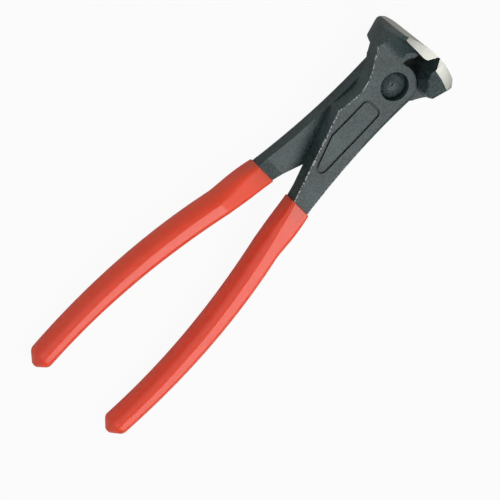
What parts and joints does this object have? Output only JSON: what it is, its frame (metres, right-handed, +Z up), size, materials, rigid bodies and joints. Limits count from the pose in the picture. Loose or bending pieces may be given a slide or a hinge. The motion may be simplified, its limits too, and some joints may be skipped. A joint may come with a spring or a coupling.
{
  "type": "end cutting nippers",
  "caption": "End cutting nippers: two forged levers lap-jointed on a rivet, wide hollow-backed jaws with straight end cutting edges, bowed arms and dipped red grips.",
  "frame": {"origin": "centre of the bounding box at the surface the tool lies on", "axes": "+X along the tool towards the cutting edges, +Z up from the surface it lies on, +Y to the side of the rear handle; the rivet leans a little because the wide head lies lower than the grips' middle"},
  "size_m": [0.2008, 0.0574, 0.0358],
  "materials": {
    "forged_steel": "blackened drop-forged steel with ground bright edges",
    "rivet_steel": "blackened rivet head",
    "dipped_grip": "dipped soft vinyl, satin gloss"
  },
  "bodies": {
    "front_half": {"front_lever": "forged_steel", "front_grip": "dipped_grip", "pivot_rivet": "rivet_steel"},
    "rear_half": {"rear_lever": "forged_steel", "rear_grip": "dipped_grip"}
  },
  "joints": [
    {"name": "rivet_hinge", "type": "hinge", "parent": "front_half", "child": "rear_half", "pos_m": [0.07967, 0, 0.01686], "axis": [0.0564, 0, -0.9984], "range_deg": [-2.1, 25]}
  ]
}
